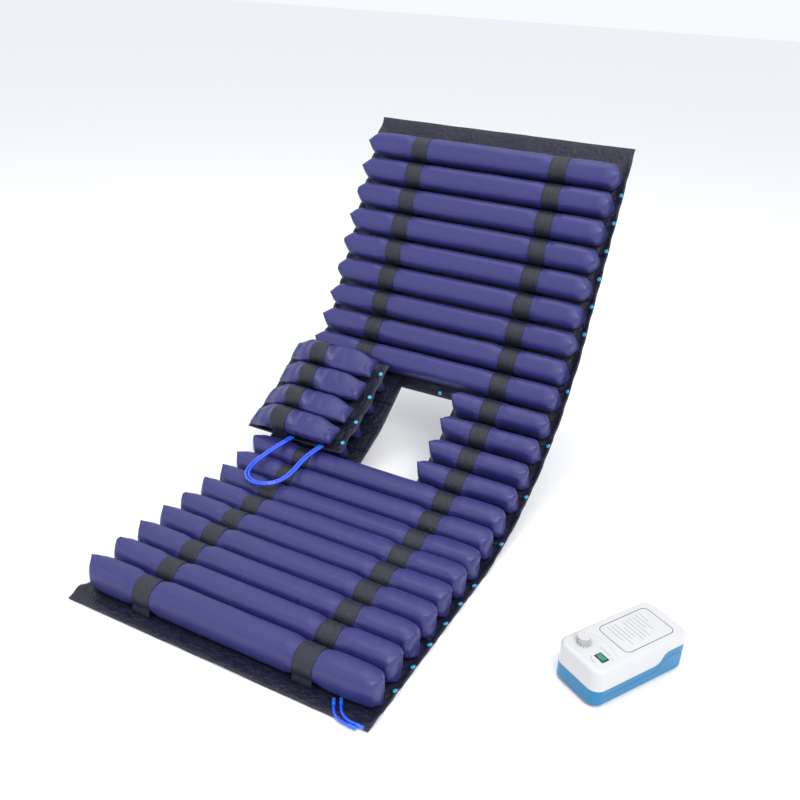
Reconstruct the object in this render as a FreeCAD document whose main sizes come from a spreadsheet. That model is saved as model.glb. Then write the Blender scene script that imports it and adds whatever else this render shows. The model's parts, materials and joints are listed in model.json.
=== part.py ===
import FreeCAD, Part
import math
import os

from FreeCAD import Placement, Rotation, Vector

# Alternating air mattress with a commode opening, and the air pump that feeds it.
#
# The mattress is a base sheet that carries rows of air cells under fabric loops.  The sheet
# is modelled as six flat panels that bend at five lines, so that the back section can be
# raised or laid flat.  A plug of four short cells, which fills the commode opening in use,
# lies on the left half of the seat, with a hose loop at its front edge.  The pump stands on
# the floor beside the foot end.
#
# Units are millimetres.  X runs across the mattress, Y from the foot end to the head end and
# Z up.  The origin is the middle of the leg panel's underside.

doc = FreeCAD.newDocument("air_mattress")

# ---------------------------------------------------------------- driving dimensions
DIMENSIONS = {
    # air cells
    "cell_diameter": 78,
    "cell_length": 820,
    "cell_taper": 62,
    "ear_half_height": 49,
    "ear_half_thickness": 1.6,
    "cell_clearance": 0.4,
    "row_pitch": 84,
    "bend_pitch": 96,
    "bend_angle": 12.5,
    # base sheet and the commode opening in it
    "sheet_width": 860,
    "sheet_thickness": 1.2,
    "foot_margin": 82,
    "head_margin": 100,
    "panel_gap": 0.5,
    "opening_width": 190,
    "left_short_length": 272,
    "right_short_length": 305,
    # the plug's cells and sheet
    "plug_cell_length": 300,
    "plug_sheet_width": 332,
    "plug_band_width": 24,
    "plug_centre_offset": 301,
    "plug_strap_offset": 29,
    "plug_lay_clearance": 1.5,
    "plug_edge_margin": 4,
    # loops over the cells
    "strap_width": 52,
    "strap_thickness": 1.0,
    "strap_clearance": 0.4,
    "strap_spacing": 460,
    # snap fasteners
    "snap_diameter": 12,
    "snap_height": 3,
    "snap_edge_distance": 12,
    # air hoses
    "hose_diameter": 8,
    "hose_pair_spacing": 9,
    "feed_diameter": 7,
    "fitting_diameter": 8.8,
    "fitting_length": 18,
    # pump casing
    "pump_length": 280,
    "pump_width": 135,
    "pump_height": 101,
    "pump_corner_radius": 26,
    "pump_top_radius": 10,
    "pump_bottom_radius": 7,
    "pump_wall": 2.5,
    "pump_seam_gap": 0.4,
    "pump_front_seam": 47,
    "pump_rear_seam": 74,
    "pump_seam_rise_start": 62,
    "pump_seam_rise_end": 104,
    "foot_height": 5,
    "foot_diameter": 16,
    "foot_inset": 30,
    # pump controls
    "control_inset": 44,
    "control_spacing": 58,
    "knob_diameter": 30,
    "knob_height": 16,
    "knob_gap": 1.2,
    "stem_diameter": 6,
    "stem_length": 22,
    "stem_clearance": 0.4,
    "rocker_length": 21,
    "rocker_width": 13,
    "rocker_height": 14,
    "rocker_rise": 3.5,
    "rocker_taper": 3,
    "rocker_axis_drop": 0.7,
    "bezel_border": 2,
    "bezel_rise": 1.2,
    "control_clearance": 1.0,
    "trunnion_diameter": 3,
    "trunnion_length": 0.6,
    "pivot_diameter": 3,
    "pivot_clearance": 0.3,
    "pivot_wall": 2,
    # pump works
    "outlet_bore": 4,
    "outlet_diameter": 8,
    "outlet_length": 18,
    "outlet_shank_diameter": 10,
    "outlet_shank_length": 8,
    "outlet_clearance": 0.05,
    "outlet_spacing": 26,
    "outlet_height": 32,
    "inlet_length": 24,
    "inlet_width": 20,
    "inlet_height": 14,
    "inlet_offset": 34,
    "inlet_wall": 3,
    "inlet_depth": 2,
    "chamber_diameter": 34,
    "chamber_height": 26,
    "coil_length": 36,
    "coil_width": 30,
    "coil_height": 34,
    "core_thickness": 10,
    "arm_length": 66,
    "arm_thickness": 3,
    "arm_height": 14,
    "arm_gap": 10,
    "arm_clearance": 2,
    "magnet_size": 12,
    "motor_diameter": 38,
    "motor_height": 18,
    "valve_diameter": 30,
    "valve_height": 9,
    "valve_gap": 0.5,
    "valve_inset": 56,
    "valve_offset": 27,
    "screw_diameter": 4,
    "screw_length": 62,
    "screw_inset": 16,
    "screw_clearance": 0.2,
    "boss_diameter": 9,
    "boss_gap": 0.4,
}

sheet = doc.addObject("Spreadsheet::Sheet", "dims")
for row, (alias, value) in enumerate(DIMENSIONS.items(), start=1):
    sheet.set("A%d" % row, alias)
    sheet.set("B%d" % row, str(value))
    sheet.setAlias("B%d" % row, alias)
doc.recompute()


def size(alias):
    """The present value of a driving dimension."""
    return float(sheet.get(alias))


def bind(thing, **sizes):
    """Ties properties of an object to expressions on the sheet; words are sheet aliases."""
    for name, text in sizes.items():
        words = "".join(c if c.isalnum() or c == "_" else " " for c in text).split()
        for word in sorted(set(words), key=len, reverse=True):
            if word in DIMENSIONS:
                text = swap_word(text, word)
        thing.setExpression(name.replace("__", "."), text)
    return thing


def swap_word(text, word):
    """text with each whole word replaced by the sheet's own reference to it."""
    made, i = "", 0
    while i < len(text):
        before = text[i - 1] if i else " "
        after = text[i + len(word)] if i + len(word) < len(text) else " "
        alone = not (before.isalnum() or before in "_.") and not (after.isalnum() or after == "_")
        if text.startswith(word, i) and alone:
            made += "dims." + word
            i += len(word)
        else:
            made += text[i]
            i += 1
    return made


def add(kind, name, **sizes):
    return bind(doc.addObject(kind, name), **sizes)


def box(name, length, width, height, x="0", y="0", z="0"):
    """A box whose low corner is at x, y, z."""
    return add("Part::Box", name, Length=length, Width=width, Height=height,
               Placement__Base__x=x, Placement__Base__y=y, Placement__Base__z=z)


def cylinder(name, radius, height, x="0", y="0", z="0", turn=None):
    """A cylinder that stands on x, y, z, along Z or along the way that turn gives."""
    made = add("Part::Cylinder", name, Radius=radius, Height=height,
               Placement__Base__x=x, Placement__Base__y=y, Placement__Base__z=z)
    if turn is not None:
        made.Placement.Rotation = turn
    return made


def cut(name, base, tool):
    made = doc.addObject("Part::Cut", name)
    made.Base, made.Tool = base, tool
    return made


def fuse(name, *shapes):
    made = doc.addObject("Part::MultiFuse", name)
    made.Shapes = list(shapes)
    return made


def common(name, *shapes):
    made = doc.addObject("Part::MultiCommon", name)
    made.Shapes = list(shapes)
    return made


def placed(name, thing, placement):
    """A group of one or more pieces that is put in place as a whole."""
    group = doc.addObject("Part::Compound", name)
    group.Links = thing if isinstance(thing, list) else [thing]
    group.Placement = placement
    return group


ALONG_X = Rotation(Vector(0, 1, 0), 90)
nodes = {}


def keep(node, thing, placement=None):
    """Labels a finished piece with its node's name and puts it in place."""
    thing.Label = node
    if placement is not None:
        thing.Placement = placement.multiply(thing.Placement)
    nodes[node] = thing
    return thing


def copies(node, places):
    """A node of separate solids: linked copies of master pieces, each in its place."""
    links = []
    for i, (master, placement) in enumerate(places):
        link = doc.addObject("App::Link", "%s_%d" % (node, i + 1))
        link.LinkedObject, link.LinkTransform, link.Placement = master, False, placement
        links.append(link)
    group = doc.addObject("Part::Compound", node)
    group.Links = links
    return keep(node, group)


# ---------------------------------------------------------------- the bent layout
# Rows are counted from the head end, 1 to 22.  Each section lists its rows from its foot
# side to its head side.
SECTIONS = {
    "legs": list(range(22, 15, -1)),
    "thigh": [15, 14],
    "seat_front": [13, 12],
    "seat_rear": [11, 10],
    "lumbar": [9, 8],
    "back": list(range(7, 0, -1)),
}
OPENING_ROWS = (10, 11, 12, 13)


def section_length(name):
    """Length of a section's panel along the mattress, from edge or bend to bend or edge."""
    length = (len(SECTIONS[name]) - 1) * size("row_pitch")
    length += size("foot_margin") if name == "legs" else size("bend_pitch") / 2
    length += size("head_margin") if name == "back" else size("bend_pitch") / 2
    return length


def section_frames():
    """Placement of each section's own frame: origin on its foot-side edge, mid width."""
    frames = {}
    at = Vector(0, -section_length("legs") / 2, 0)
    for step, name in enumerate(SECTIONS):
        angle = step * size("bend_angle")
        turn = Rotation(Vector(1, 0, 0), angle)
        frames[name] = Placement(at, turn)
        at = at + turn.multVec(Vector(0, section_length(name), 0))
    return frames


FRAMES = section_frames()


def row_offset(section, row):
    """Distance of a row's centre line from its section's foot-side edge."""
    start = size("foot_margin") if section == "legs" else size("bend_pitch") / 2
    return start + SECTIONS[section].index(row) * size("row_pitch")


def in_section(section, x, y, z, turn=None):
    return FRAMES[section].multiply(Placement(Vector(x, y, z), turn or Rotation()))


CELL_AXIS_HEIGHT = size("sheet_thickness") + size("cell_clearance") + size("cell_diameter") / 2


# ---------------------------------------------------------------- masters
def cell_master(name, length, half_height="ear_half_height"):
    """An inflated tube whose two ends are pinched to upright flat seams with tall corners."""
    stations = [("0", False), ("cell_taper", True),
                ("%s - cell_taper" % length, True), (length, False)]
    sections = []
    for i, (along, is_round) in enumerate(stations):
        ring = doc.addObject("Part::Ellipse", "%s_ring_%d" % (name, i + 1))
        wide = "cell_diameter / 2" if is_round else half_height
        thin = "cell_diameter / 2 - 0.01" if is_round else "ear_half_thickness"
        rise = "0" if is_round else half_height + " - cell_diameter / 2"
        bind(ring, MajorRadius=wide, MinorRadius=thin, Placement__Base__z=rise,
             Placement__Base__x="%s - %s / 2" % (along, length))
        ring.Placement.Rotation = Rotation(Vector(0, 1, 0), -90)
        sections.append(ring)
    made = doc.addObject("Part::Loft", name)
    made.Sections = sections
    made.Solid, made.Ruled = True, True
    return made


def strap_master():
    """A fabric loop: an arch over a cell with two legs that reach the sheet."""
    outer = "cell_diameter / 2 + strap_clearance + strap_thickness"
    inner = "cell_diameter / 2 + strap_clearance"
    leg = "cell_clearance + cell_diameter / 2"
    shell = []
    for label, radius, grow in (("outer", outer, "0"), ("inner", inner, "2")):
        wide = "strap_width + %s" % grow
        arch = cylinder("strap_%s_arch" % label, radius, wide,
                        x="-(%s) / 2" % wide, turn=ALONG_X)
        legs = box("strap_%s_legs" % label, wide, "2 * (%s)" % radius, "%s + %s" % (leg, grow),
                   x="-(%s) / 2" % wide, y="-(%s)" % radius, z="-(%s + %s)" % (leg, grow))
        shell.append(fuse("strap_%s" % label, arch, legs))
    low = box("strap_below", "strap_width + 4", "cell_diameter + 20", "cell_diameter",
              x="-(strap_width + 4) / 2", y="-(cell_diameter + 20) / 2",
              z="-cell_diameter - (%s)" % leg)
    return cut("strap_loop", cut("strap_arch", shell[0], shell[1]), low)


def snap_master():
    """A press stud: a low round cap."""
    cap = cylinder("snap_cap_blank", "snap_diameter / 2", "snap_height")
    made = doc.addObject("Part::Fillet", "snap_cap")
    made.Base = cap
    doc.recompute()
    top = [i + 1 for i, e in enumerate(cap.Shape.Edges)
           if len(e.Vertexes) == 1 and e.CenterOfMass.z > size("snap_height") / 2]
    made.Edges = [(i, size("snap_height") / 3, size("snap_height") / 3) for i in top]
    return made


long_cell = cell_master("long_cell", "cell_length")
left_cell = cell_master("left_short_cell", "left_short_length", "cell_diameter / 2")
right_cell = cell_master("right_short_cell", "right_short_length")
plug_cell = cell_master("plug_cell", "plug_cell_length")
strap_loop = strap_master()
snap_cap = snap_master()


# ---------------------------------------------------------------- mattress pieces
def panel(section):
    """The base sheet's panel in one section, with its share of the commode opening."""
    length = section_length(section)
    blank = box("blank_" + section, "sheet_width", "%s" % (length - 2 * size("panel_gap")),
                "sheet_thickness", x="-sheet_width / 2", y="panel_gap")
    if section not in ("seat_front", "seat_rear"):
        return keep("base_sheet_" + section, placed("sheet_" + section, blank, FRAMES[section]))
    opening = box("opening_" + section, "opening_width", "%s" % opening_length(section),
                  "sheet_thickness * 3", x="-opening_width / 2", z="-sheet_thickness",
                  y="%s" % opening_start(section))
    return keep("base_sheet_" + section, cut("panel_" + section, blank, opening),
                FRAMES[section])


def opening_length(section):
    """The opening runs from the first bend of the seat to the last, less a hem at each."""
    return section_length(section) - size("snap_edge_distance") * 2


def opening_start(section):
    return size("snap_edge_distance") * 2 if section == "seat_front" else 0


def cell_places(section, row):
    """(master, placement) of each cell in a row."""
    y = row_offset(section, row)
    if row not in OPENING_ROWS:
        return [(long_cell, in_section(section, 0, y, CELL_AXIS_HEIGHT))]
    half = size("cell_length") / 2
    left = -half + size("left_short_length") / 2
    right = half - size("right_short_length") / 2
    return [(left_cell, in_section(section, left, y, CELL_AXIS_HEIGHT)),
            (right_cell, in_section(section, right, y, CELL_AXIS_HEIGHT))]


for section, rows in SECTIONS.items():
    panel(section)
    for row in rows:
        copies("air_cell_row_%02d" % row, cell_places(section, row))
    half_spacing = size("strap_spacing") / 2
    copies("straps_" + section, [
        (strap_loop, in_section(section, side * half_spacing, row_offset(section, row),
                                CELL_AXIS_HEIGHT)) for row in rows for side in (-1, 1)])

for section in ("legs", "back"):
    edge = size("sheet_width") / 2 - size("snap_edge_distance")
    between = [row_offset(section, row) + size("row_pitch") / 2 for row in SECTIONS[section]]
    copies("snaps_" + section, [
        (snap_cap, in_section(section, edge, y, size("sheet_thickness"))) for y in between[:-1]])


# ---------------------------------------------------------------- the plug for the opening
# The plug has the bent shape of the rows that it fills, so it is laid out like them and
# moved as a whole: up along the seat's middle normal and to the left.
def plug_frames():
    mean = Rotation(Vector(1, 0, 0), 2.5 * size("bend_angle"))
    stack = (CELL_AXIS_HEIGHT + size("cell_diameter") / 2 + size("strap_clearance")
             + size("strap_thickness") + size("plug_lay_clearance"))
    lift = mean.multVec(Vector(0, 0, stack / math.cos(math.radians(size("bend_angle") / 2))))
    shift = Placement(lift + Vector(-size("plug_centre_offset"), 0, 0), Rotation())
    return {name: shift.multiply(FRAMES["seat_" + name]) for name in ("front", "rear")}


PLUG = plug_frames()
PLUG_EDGE = -size("plug_cell_length") / 2 - size("plug_edge_margin")
PLUG_BAND = PLUG_EDGE + size("plug_sheet_width") - size("plug_band_width") / 2
plug_panels, plug_cells, plug_loops, plug_studs = [], [], [], []
for part in ("front", "rear"):
    section = "seat_" + part
    start = size("snap_edge_distance") if part == "front" else size("panel_gap")
    blank = box("plug_panel_" + part, "plug_sheet_width",
                "%s" % (section_length(section) - size("panel_gap") - size("snap_edge_distance")),
                "sheet_thickness", x="-plug_cell_length / 2 - plug_edge_margin", y="%s" % start)
    plug_panels.append(placed("plug_" + part, blank, PLUG[part]))
    for row in SECTIONS[section]:
        y = row_offset(section, row)
        on_axis = PLUG[part].multiply(Placement(Vector(0, y, CELL_AXIS_HEIGHT), Rotation()))
        plug_cells.append((plug_cell, on_axis))
        plug_loops.append((strap_loop, on_axis.multiply(
            Placement(Vector(-size("plug_strap_offset"), 0, 0), Rotation()))))
        plug_studs.append((snap_cap, PLUG[part].multiply(
            Placement(Vector(PLUG_BAND, y, size("sheet_thickness")), Rotation()))))
keep("plug_sheet", placed("plug_sheet", plug_panels, Placement()))
copies("plug_cells", plug_cells)
copies("plug_straps", plug_loops)
copies("plug_snaps", plug_studs)


# ---------------------------------------------------------------- hoses
def hose_path(points, smallest):
    """Straight runs joined by tangent arcs, as large as the two runs of each corner allow."""
    edges, at, radii = [], points[0], []
    for before, corner, after in zip(points, points[1:], points[2:]):
        run_in, run_out = corner - before, after - corner
        turn = run_in.getAngle(run_out)
        reach = 0.45 * min(run_in.Length, run_out.Length)
        radius = reach / math.tan(turn / 2)
        radii.append(radius)
        way_in, way_out = Vector(run_in).normalize(), Vector(run_out).normalize()
        first, last = corner - way_in * reach, corner + way_out * reach
        inward = (way_out - way_in).normalize()
        middle = corner + inward * (radius / math.cos(turn / 2) - radius)
        edges.append(Part.LineSegment(at, first).toShape())
        edges.append(Part.Arc(first, middle, last).toShape())
        at = last
    edges.append(Part.LineSegment(at, points[-1]).toShape())
    print("  tightest radius %.0f of at least %.0f" % (min(radii), smallest))
    return Part.Wire(edges)


def hose(node, points, diameter):
    """A round tube along a route, as one closed solid."""
    path = hose_path([Vector(*p) for p in points], 5 * diameter)
    way = path.Edges[0].tangentAt(path.Edges[0].FirstParameter)
    ring = Part.Wire(Part.makeCircle(diameter / 2, Vector(*points[0]), way))
    tube = path.makePipeShell([ring], True, False)
    expected = math.pi * diameter ** 2 / 4 * path.Length
    print("  %s: %.0f mm long, volume %.3f of section times length"
          % (node, path.Length, tube.Volume / expected))
    made = doc.addObject("Part::Feature", node)
    made.Shape = tube
    return keep(node, made)


def fittings(node, ends):
    """Hose fittings, each a round body with a collar, that carry a hose's end run straight on."""
    made = []
    for i, (at, beside) in enumerate(ends):
        name = "%s_%d" % (node, i + 1)
        body = cylinder(name + "_body", "fitting_diameter / 2 - 0.6", "fitting_length")
        collar = cylinder(name + "_collar", "fitting_diameter / 2", "fitting_length / 3")
        made.append(fuse(name, body, collar))
        way = Vector(*at) - Vector(*beside)
        made[-1].Placement = Placement(Vector(*at), Rotation(Vector(0, 0, 1), way))
    return keep(node, placed(node, made, Placement()))


# A pair of hoses joins the plug's two air circuits.  They leave the front cell, lie in a
# loop over the three cells in front of the plug and come back to it.
PAIR = size("hose_pair_spacing")
LOOP_OUTER = [
    (-297, 436, 126), (-304, 407, 122), (-318, 365, 111), (-328, 322, 102), (-326, 280, 96),
    (-309, 246, 93.5), (-276, 228, 93), (-242, 232, 93), (-215, 253, 93.5), (-199, 287, 96),
    (-194, 326, 103), (-196, 365, 111), (-190, 407, 122), (-184, 436, 126),
]
LOOP_INNER = [
    (-297 + PAIR, 436, 126), (-304 + PAIR, 407, 122), (-318 + PAIR, 365, 111),
    (-319, 322, 102), (-317, 282, 96), (-303, 253, 93.5), (-275, 237.5, 93),
    (-245, 241, 93), (-222, 259, 93.5), (-208, 289, 96), (-203, 326, 103),
    (-196 - PAIR, 365, 111), (-190 - PAIR, 407, 122), (-184 - PAIR, 436, 126),
]
hose("plug_hose_outer", LOOP_OUTER, size("hose_diameter"))
hose("plug_hose_inner", LOOP_INNER, size("hose_diameter"))
# Two feed hoses come out from under the last cell at the right corner of the foot end.
FEED_OUTER = [
    (322, -291, 7), (330, -304.9, 7), (343.8, -316.4, 7), (360.7, -322.6, 7), (378.7, -322.6, 7),
]
FEED_INNER = [
    (335, -281.8, 7), (343, -295.7, 7), (356.8, -307.2, 7), (373.7, -313.4, 7), (391.7, -313.4, 7),
]
hose("feed_hose_outer", FEED_OUTER, size("feed_diameter"))
hose("feed_hose_inner", FEED_INNER, size("feed_diameter"))
fittings("plug_hose_fittings", [(route[end], route[beside]) for route in (LOOP_OUTER, LOOP_INNER)
                                for end, beside in ((0, 1), (-1, -2))])
fittings("feed_hose_fittings", [(route[end], route[beside]) for route in (FEED_OUTER, FEED_INNER)
                                for end, beside in ((0, 1), (-1, -2))])


# ---------------------------------------------------------------- the air pump
# The pump's own frame has X along its length, away from the control end, and its origin on
# the floor under the middle of the casing.
PUMP = Placement(Vector(818, 131, 0), Rotation(Vector(0, 0, 1), 60))


def rounded_block(name, grow, low, high):
    """The casing's outer form, or its hollow when grow is negative, between two heights."""
    blank = box(name + "_blank", "pump_length + 2 * (%s)" % grow,
                "pump_width + 2 * (%s)" % grow, "(%s) - (%s)" % (high, low),
                x="-pump_length / 2 - (%s)" % grow, y="-pump_width / 2 - (%s)" % grow, z=low)
    doc.recompute()
    change = -size("pump_wall") if grow != "0" else 0
    upright, top, bottom = [], [], []
    height = blank.Shape.BoundBox
    for i, edge in enumerate(blank.Shape.Edges, start=1):
        z = edge.CenterOfMass.z
        if abs(z - height.ZMax) < 0.01:
            top.append(i)
        elif abs(z - height.ZMin) < 0.01:
            bottom.append(i)
        else:
            upright.append(i)
    corner = size("pump_corner_radius") + change
    sides = doc.addObject("Part::Fillet", name + "_corners")
    sides.Base = blank
    sides.Edges = [(i, corner, corner) for i in upright]
    doc.recompute()
    rims = []
    for i, edge in enumerate(sides.Shape.Edges, start=1):
        box_of = edge.BoundBox
        if box_of.ZLength < 0.01:
            at_top = abs(box_of.ZMax - height.ZMax) < 0.01
            radius = size("pump_top_radius" if at_top else "pump_bottom_radius") + change
            rims.append((i, radius, radius))
    made = doc.addObject("Part::Fillet", name)
    made.Base = sides
    made.Edges = rims
    return made


def seam_cutter(name, shift):
    """All that lies under the seam, which is low at the control end and sweeps up to the rear."""
    length, width = size("pump_length"), size("pump_width")
    low, high = size("pump_front_seam") + shift, size("pump_rear_seam") + shift
    start = length / 2 - size("pump_seam_rise_end")
    end = length / 2 - size("pump_seam_rise_start")
    middle = Vector((start + end) / 2, 0, (low + high) / 2)
    run, rise = end - start, high - low
    radius = (run ** 2 + rise ** 2) / (4 * rise)
    half = math.atan2(run / 2, radius - rise / 2) / 2
    dip = Vector(radius * math.sin(half), 0, radius * (1 - math.cos(half)))
    corners = [Vector(start, 0, low), middle, Vector(end, 0, high)]
    beyond = length
    left, right = Vector(-beyond, 0, low), Vector(beyond, 0, high)
    below_right, below_left = Vector(beyond, 0, -width), Vector(-beyond, 0, -width)
    edges = [Part.LineSegment(left, corners[0]),
             Part.Arc(corners[0], corners[0] + dip, middle),
             Part.Arc(middle, corners[2] - dip, corners[2]),
             Part.LineSegment(corners[2], right), Part.LineSegment(right, below_right),
             Part.LineSegment(below_right, below_left), Part.LineSegment(below_left, left)]
    face = Part.Face(Part.Wire([e.toShape() for e in edges]))
    made = doc.addObject("Part::Feature", name)
    made.Shape = face.extrude(Vector(0, 2 * width, 0))
    made.Placement = Placement(Vector(0, -width, 0), Rotation())
    return made


WALL_IN = "-pump_wall"
casing = rounded_block("casing", "0", "foot_height", "pump_height")
hollow = rounded_block("hollow", WALL_IN, "foot_height + pump_wall", "pump_height - pump_wall")
casing_wall = cut("casing_wall", casing, hollow)

# where the controls and the rear fittings are
KNOB_X, KNOB_Y = "-pump_length / 2 + control_inset", "control_spacing / 2"
ROCKER_X, ROCKER_Y = "-pump_length / 2 + control_inset", "-control_spacing / 2"
DECK = "pump_height - pump_wall"
REAR = "pump_length / 2"
bezel_length = "rocker_length + 2 * control_clearance + 2 * bezel_border"
bezel_width = "rocker_width + 2 * control_clearance + 2 * bezel_border"


def centred_box(name, length, width, height, x, y, z):
    return box(name, length, width, height, x="%s - (%s) / 2" % (x, length),
               y="%s - (%s) / 2" % (y, width), z=z)


stem_hole = cylinder("stem_hole", "stem_diameter / 2 + stem_clearance", "4 * pump_wall",
                     x=KNOB_X, y=KNOB_Y, z=DECK + " - pump_wall")
bezel_hole = centred_box("bezel_hole", bezel_width, bezel_length, "4 * pump_wall",
                         ROCKER_X, ROCKER_Y, DECK + " - pump_wall")
FLOOR = "foot_height + pump_wall"


def at_corners(name, make, inset):
    """Four copies of a piece, one towards each corner of the casing."""
    made = []
    for i, (x, y) in enumerate(((-1, -1), (-1, 1), (1, -1), (1, 1))):
        made.append(make("%s_%d" % (name, i + 1), "%d * (pump_length / 2 - %s)" % (x, inset),
                         "%d * (pump_width / 2 - %s)" % (y, inset)))
    return made


def upright(across, low, high):
    """A maker of upright cylinders between two heights."""
    def make(name, x, y):
        return cylinder(name, across + " / 2", "(%s) - (%s)" % (high, low), x=x, y=y, z=low)
    return make


# screw bosses stand in the corners of both halves and meet at the front seam's height
base_bosses = at_corners("base_boss", upright("boss_diameter", "foot_height + pump_wall / 2",
                                              "pump_front_seam"), "screw_inset")
top_bosses = at_corners("top_boss", upright("boss_diameter", "pump_front_seam + boss_gap",
                                            "pump_height - pump_wall / 2"), "screw_inset")
screw_holes = fuse("screw_holes", *at_corners(
    "screw_hole", upright("(screw_diameter + 2 * screw_clearance)", "0",
                          "foot_height + screw_length + 1"), "screw_inset"))
top_blank = cut("top_blank", casing_wall, seam_cutter("top_seam", size("pump_seam_gap")))
top_shell = cut("top_shell", fuse("top_with_bosses", top_blank, *top_bosses),
                fuse("top_holes", stem_hole, bezel_hole, screw_holes))
keep("pump_top_shell", placed("pump_top_shell", top_shell, PUMP))

outlet_holes = [cylinder("outlet_hole_%d" % (i + 1),
                         "outlet_shank_diameter / 2 + outlet_clearance", "4 * pump_wall",
                         x=REAR + " - 2 * pump_wall", y="%d * outlet_spacing / 2" % side,
                         z="outlet_height", turn=ALONG_X) for i, side in enumerate((-1, 1))]
inlet_hole = centred_box("inlet_hole", "4 * pump_wall", "inlet_length", "inlet_height",
                         REAR, "-inlet_offset", "outlet_height - inlet_height / 2")
rear_holes = fuse("rear_holes", inlet_hole, *outlet_holes)
base_half = common("base_half", casing_wall, seam_cutter("base_seam", 0))
ARM_X = "-(coil_length / 2 + core_thickness + arm_gap)"
PIVOT_X, PIVOT_Y = ARM_X + " - arm_thickness / 2", "-arm_length / 2"
pivot_post = cylinder("pivot_post", "pivot_diameter / 2",
                      "coil_height / 2 + arm_height / 2 + pump_wall",
                      x=PIVOT_X, y=PIVOT_Y, z="foot_height + pump_wall / 2")
base_shell = cut("base_shell", fuse("base_with_bosses", base_half, pivot_post, *base_bosses),
                 fuse("base_holes", rear_holes, screw_holes))
keep("pump_base_shell", placed("pump_base_shell", base_shell, PUMP))
keep("pump_feet", placed("pump_feet", at_corners(
    "foot", upright("foot_diameter", "0", "foot_height"), "foot_inset"), PUMP))
keep("pump_screws", placed("pump_screws", at_corners(
    "screw", upright("screw_diameter", "foot_height", "foot_height + screw_length"),
    "screw_inset"), PUMP))

# flow knob with its stem
knob = cylinder("knob", "knob_diameter / 2", "knob_height", x=KNOB_X, y=KNOB_Y,
                z="pump_height + knob_gap")
stem = cylinder("stem", "stem_diameter / 2", "stem_length", x=KNOB_X, y=KNOB_Y,
                z="pump_height + knob_gap - stem_length")
keep("pump_flow_knob", placed("pump_flow_knob", fuse("knob_and_stem", knob, stem), PUMP))

# rocker switch in its frame
frame = centred_box("bezel_outer", bezel_width, bezel_length, "pump_wall + bezel_rise",
                    ROCKER_X, ROCKER_Y, DECK)
window = centred_box("bezel_window", "rocker_width + 2 * control_clearance",
                     "rocker_length + 2 * control_clearance", "4 * pump_wall",
                     ROCKER_X, ROCKER_Y, DECK + " - pump_wall")
keep("pump_switch_bezel", placed("pump_switch_bezel", cut("bezel", frame, window), PUMP))
paddle = add("Part::Wedge", "rocker", Xmin="0", Xmax="rocker_width", X2min="0",
             X2max="rocker_width", Ymin="0", Ymax="rocker_height", Zmin="0",
             Zmax="rocker_length - rocker_taper", Z2min="0", Z2max="rocker_length")
paddle.Placement.Rotation = Rotation(Vector(1, 0, 0), 90)
bind(paddle, Placement__Base__x=ROCKER_X + " - rocker_width / 2",
     Placement__Base__y=ROCKER_Y + " + rocker_length / 2",
     Placement__Base__z="pump_height + rocker_rise - rocker_height")
ROCKER_AXIS = "pump_height - rocker_axis_drop"
trunnion = cylinder("trunnion", "trunnion_diameter / 2", "rocker_width + 2 * trunnion_length",
                    x=ROCKER_X + " - rocker_width / 2 - trunnion_length", y=ROCKER_Y,
                    z=ROCKER_AXIS, turn=ALONG_X)
keep("pump_rocker_switch", placed("pump_rocker_switch", fuse("switch", paddle, trunnion), PUMP))

# outlets and mains inlet in the rear wall
nipples = []
for i, side in enumerate((-1, 1)):
    across = "%d * outlet_spacing / 2" % side
    barrel = cylinder("barrel_%d" % (i + 1), "outlet_diameter / 2", "outlet_length",
                      x=REAR, y=across, z="outlet_height", turn=ALONG_X)
    shank = cylinder("shank_%d" % (i + 1), "outlet_shank_diameter / 2", "outlet_shank_length",
                     x=REAR + " - outlet_shank_length", y=across, z="outlet_height", turn=ALONG_X)
    bore = cylinder("outlet_bore_%d" % (i + 1), "outlet_bore / 2",
                    "outlet_shank_length + outlet_length", x=REAR + " - outlet_shank_length",
                    y=across, z="outlet_height", turn=ALONG_X)
    nipples.append(cut("outlet_%d" % (i + 1), fuse("nipple_%d" % (i + 1), barrel, shank), bore))
keep("pump_outlets", placed("pump_outlets", nipples, PUMP))
socket = centred_box("socket", "inlet_width", "inlet_length", "inlet_height",
                     REAR + " - inlet_width / 2", "-inlet_offset",
                     "outlet_height - inlet_height / 2")
recess = centred_box("socket_recess", "inlet_width", "inlet_length - 2 * inlet_wall",
                     "inlet_height - 2 * inlet_wall", REAR + " - inlet_depth", "-inlet_offset",
                     "outlet_height - inlet_height / 2 + inlet_wall")
keep("pump_mains_inlet", placed("pump_mains_inlet", cut("inlet", socket, recess), PUMP))

# electromagnet, swinging magnet arm and air chambers
coil = centred_box("coil", "coil_length", "coil_width", "coil_height", "0", "0", FLOOR)
core = centred_box("core", "coil_length + 2 * core_thickness", "core_thickness",
                   "coil_height - 8", "0", "0", FLOOR + " + 4")
keep("pump_electromagnet", placed("pump_electromagnet", fuse("coil_and_core", coil, core), PUMP))
ARM_Z = FLOOR + " + coil_height / 2 - arm_height / 2"
blade = box("arm_blade", "arm_thickness", "arm_length", "arm_height",
            x=ARM_X + " - arm_thickness", y="-arm_length / 2", z=ARM_Z)
magnet = centred_box("magnet", "magnet_size / 2", "magnet_size", "arm_height",
                     ARM_X + " + magnet_size / 4", "0", ARM_Z)
eye = cylinder("arm_eye", "pivot_diameter / 2 + pivot_clearance + pivot_wall", "arm_height",
               x=PIVOT_X, y=PIVOT_Y, z=ARM_Z)
eye_hole = cylinder("arm_eye_hole", "pivot_diameter / 2 + pivot_clearance", "2 * arm_height",
                    x=PIVOT_X, y=PIVOT_Y, z=ARM_Z + " - arm_height / 2")
arm = cut("arm", fuse("arm_blank", blade, magnet, eye), eye_hole)
keep("pump_magnet_arm", placed("pump_magnet_arm", arm, PUMP))
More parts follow.
